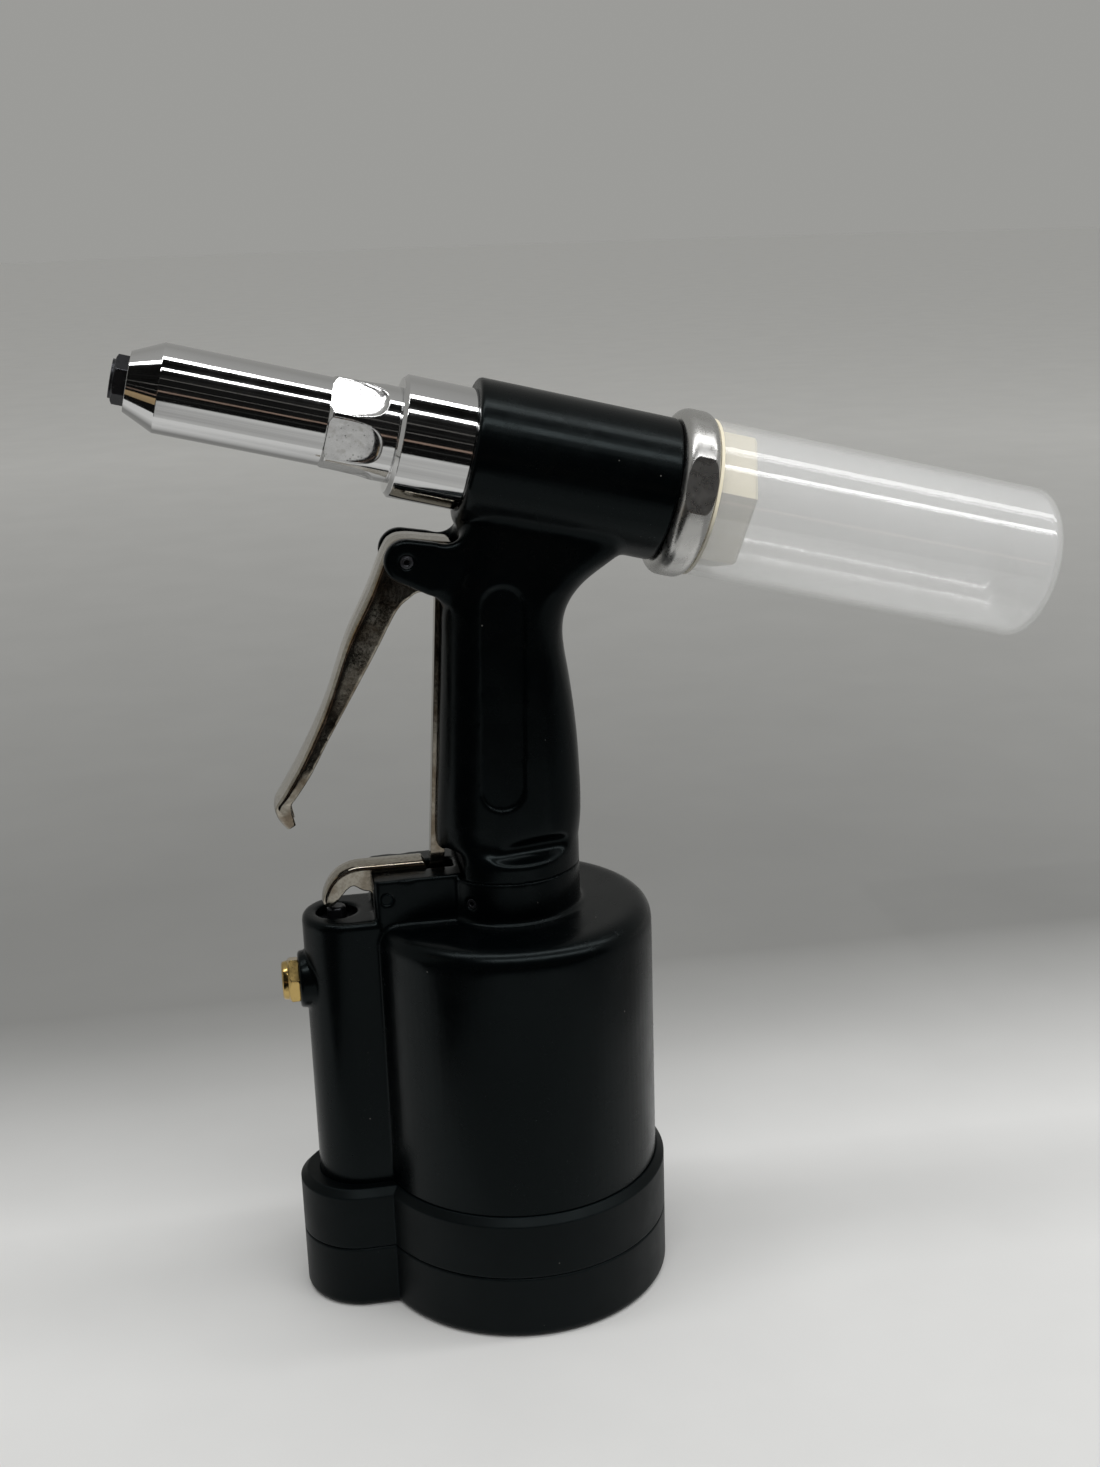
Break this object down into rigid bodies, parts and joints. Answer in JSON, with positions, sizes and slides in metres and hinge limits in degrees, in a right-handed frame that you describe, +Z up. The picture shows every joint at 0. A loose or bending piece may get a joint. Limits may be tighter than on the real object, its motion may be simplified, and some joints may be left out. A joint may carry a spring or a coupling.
{
  "type": "pneumatic riveter",
  "caption": "Pneumatic riveter that stands on its round air cylinder, with a pistol handle, a long curved trigger, a chromed nose and a milky bottle for spent mandrels.",
  "frame": {"origin": "on the floor under the air cylinder's axis, at the base cover's face", "axes": "+Z up along the air cylinder's axis, -X towards the nose and the air inlet, Y square to the plane of symmetry"},
  "size_m": [0.2846, 0.0954, 0.3058],
  "materials": {
    "black_paint": "satin",
    "chrome": "polished",
    "nickel": "polished",
    "satin_aluminium": "satin",
    "cream_plastic": "satin",
    "milky_plastic": "gloss",
    "brass": "satin",
    "dark_steel": "satin",
    "steel": "satin",
    "rubber": "matte",
    "felt": "matte"
  },
  "bodies": {
    "frame": {"main_frame": "black_paint", "cylinder_body": "black_paint", "base_ring": "black_paint", "base_cover": "black_paint", "frame_head": "chrome", "head_collar": "chrome", "rear_cap": "satin_aluminium", "cylinder_cap": "satin_aluminium", "bottle_adapter": "cream_plastic", "air_inlet": "brass", "valve_bush": "brass", "ram_gland": "brass", "nosepiece": "dark_steel", "neck_set_screw": "dark_steel", "base_screw_1": "dark_steel", "base_screw_2": "dark_steel", "base_screw_3": "dark_steel", "cap_snap_ring": "dark_steel", "trigger_pin": "steel", "lever_pin": "steel", "return_spring": "steel", "valve_spring": "steel", "cap_seal": "rubber", "ram_seal": "rubber", "stem_seal_1": "rubber", "stem_seal_2": "rubber", "head_seal": "rubber", "piston_bumper": "rubber", "exhaust_muffler": "felt"},
    "trigger": {"trigger": "nickel", "rod_top_pin": "steel"},
    "pull_rod": {"pull_rod": "nickel"},
    "valve_lever": {"valve_lever": "nickel", "rod_foot_pin": "steel"},
    "valve_stem": {"valve_stem": "steel"},
    "air_piston": {"air_piston": "satin_aluminium", "piston_seal": "rubber", "ram": "steel", "ram_nut": "steel"},
    "pull_piston": {"pull_piston": "steel", "pull_piston_seal": "rubber", "mandrel_guide": "steel", "lock_nut": "steel", "jaw_case": "steel", "jaw_spring": "steel"},
    "jaw_pusher": {"jaw_pusher": "steel"},
    "jaw_1": {"jaw_1": "steel"},
    "jaw_2": {"jaw_2": "steel"},
    "jaw_3": {"jaw_3": "steel"},
    "mandrel_bottle": {"mandrel_bottle": "milky_plastic"}
  },
  "joints": [
    {"name": "trigger_pull", "type": "hinge", "parent": "frame", "child": "trigger", "pos_m": [-0.0277, 0, 0.2408], "axis": [0, -1, 0], "range_deg": [0, 16], "stiffness_Nm_per_rad": 1, "springref_deg": -17.19},
    {"name": "pull_rod_lift", "type": "slide", "parent": "frame", "child": "pull_rod", "axis": [0.0675, 0, 0.9977], "range_m": [0, 0.0032]},
    {"name": "valve_lever_tilt", "type": "hinge", "parent": "frame", "child": "valve_lever", "pos_m": [-0.0394, 0, 0.137], "axis": [0, -1, 0], "range_deg": [0, 11.5]},
    {"name": "valve_stem_press", "type": "slide", "parent": "frame", "child": "valve_stem", "axis": [0, 0, -1], "range_m": [0, 0.0036], "deforming": ["valve_spring"]},
    {"name": "air_piston_stroke", "type": "slide", "parent": "frame", "child": "air_piston", "axis": [0, 0, 1], "range_m": [0, 0.08], "stiffness_N_per_m": 120, "springref_m": -0.02},
    {"name": "pull_piston_stroke", "type": "slide", "parent": "frame", "child": "pull_piston", "axis": [0.9686, 0, -0.2487], "range_m": [0, 0.0168], "deforming": ["return_spring"]},
    {"name": "jaw_pusher_slide", "type": "slide", "parent": "pull_piston", "child": "jaw_pusher", "axis": [0.9686, 0, -0.2487], "range_m": [0, 0.0012], "stiffness_N_per_m": 400, "springref_m": -0.004, "deforming": ["jaw_spring"]},
    {"name": "jaw_1_slide", "type": "slide", "parent": "pull_piston", "child": "jaw_1", "axis": [0.9795, 0.118, -0.163], "range_m": [0, 0.00125]},
    {"name": "jaw_2_slide", "type": "slide", "parent": "pull_piston", "child": "jaw_2", "axis": [0.973, -0.1332, -0.1886], "range_m": [0, 0.00125]},
    {"name": "jaw_3_slide", "type": "slide", "parent": "pull_piston", "child": "jaw_3", "axis": [0.9222, 0.0152, -0.3865], "range_m": [0, 0.00125]},
    {"name": "bottle_pull_off", "type": "slide", "parent": "frame", "child": "mandrel_bottle", "axis": [0.9686, 0, -0.2487], "range_m": [0, 0.03]}
  ],
  "couplings": [
    {"joint": "pull_rod_lift", "follows": "trigger_pull", "m_per_rad": 0.011162},
    {"joint": "valve_lever_tilt", "follows": "trigger_pull", "ratio": 0.70545},
    {"joint": "valve_stem_press", "follows": "trigger_pull", "m_per_rad": 0.012533},
    {"joint": "pull_piston_stroke", "follows": "air_piston_stroke", "ratio": 0.20753},
    {"joint": "jaw_1_slide", "follows": "jaw_pusher_slide", "ratio": 1.0108},
    {"joint": "jaw_2_slide", "follows": "jaw_pusher_slide", "ratio": 1.0108},
    {"joint": "jaw_3_slide", "follows": "jaw_pusher_slide", "ratio": 1.0108}
  ]
}
